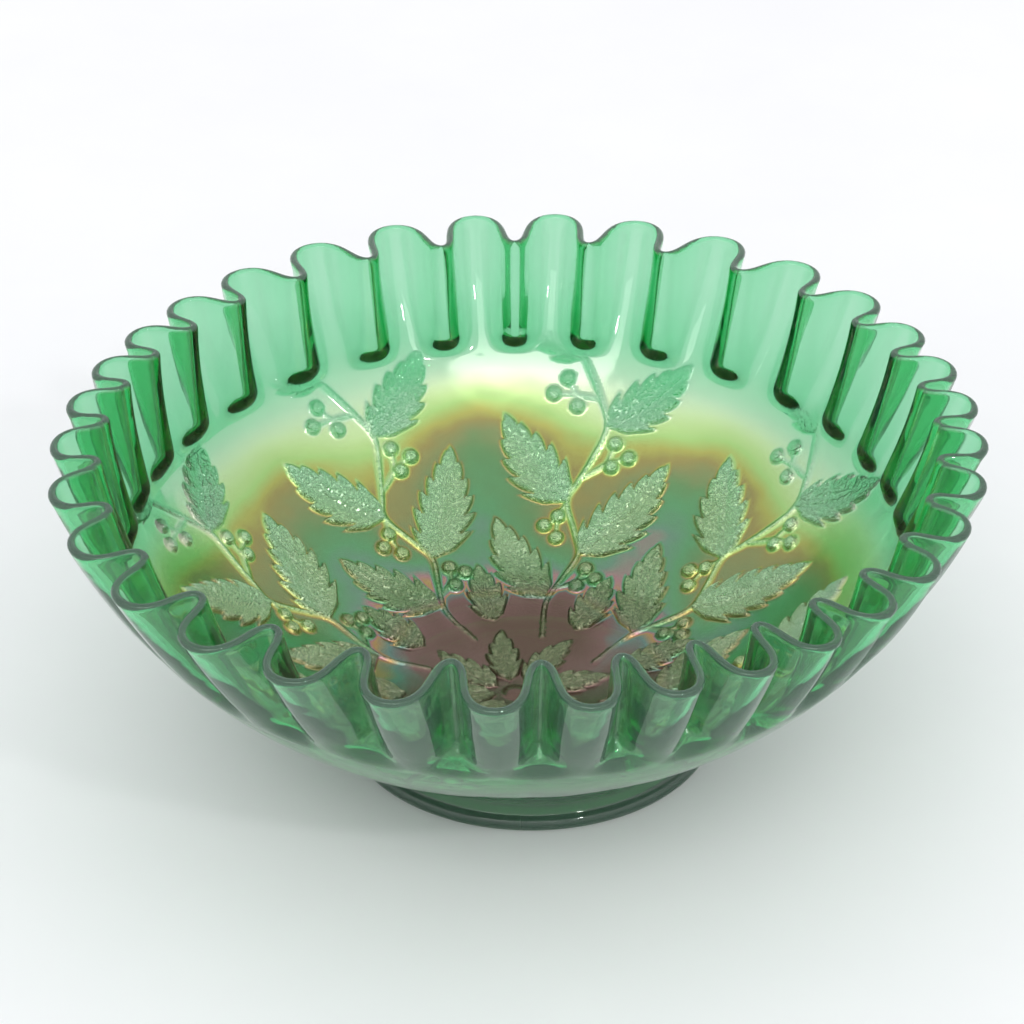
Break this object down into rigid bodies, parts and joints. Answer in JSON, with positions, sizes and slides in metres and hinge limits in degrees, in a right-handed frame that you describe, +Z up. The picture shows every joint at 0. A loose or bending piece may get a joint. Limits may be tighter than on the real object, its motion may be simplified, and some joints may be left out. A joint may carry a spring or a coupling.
{
  "type": "carnival glass bowl",
  "caption": "Shallow round pressed-glass bowl with a low collar foot and a tightly folded ribbon edge, in green glass with an iridescent lining.",
  "frame": {"origin": "middle of the bottom of the object's box, on the surface that the foot stands on", "axes": "+Z up out of the bowl's mouth; +X and +Y lie in the plane that the foot stands on, and the foot stands 2 mm to the +X side of the middle"},
  "size_m": [0.213, 0.221, 0.0869],
  "materials": {
    "carnival_glass": "emerald-green pressed glass, fire-polished, with a gold, amber and violet iridescent film on the inside"
  },
  "bodies": {
    "root": {"bowl": "carnival_glass"}
  },
  "joints": []
}
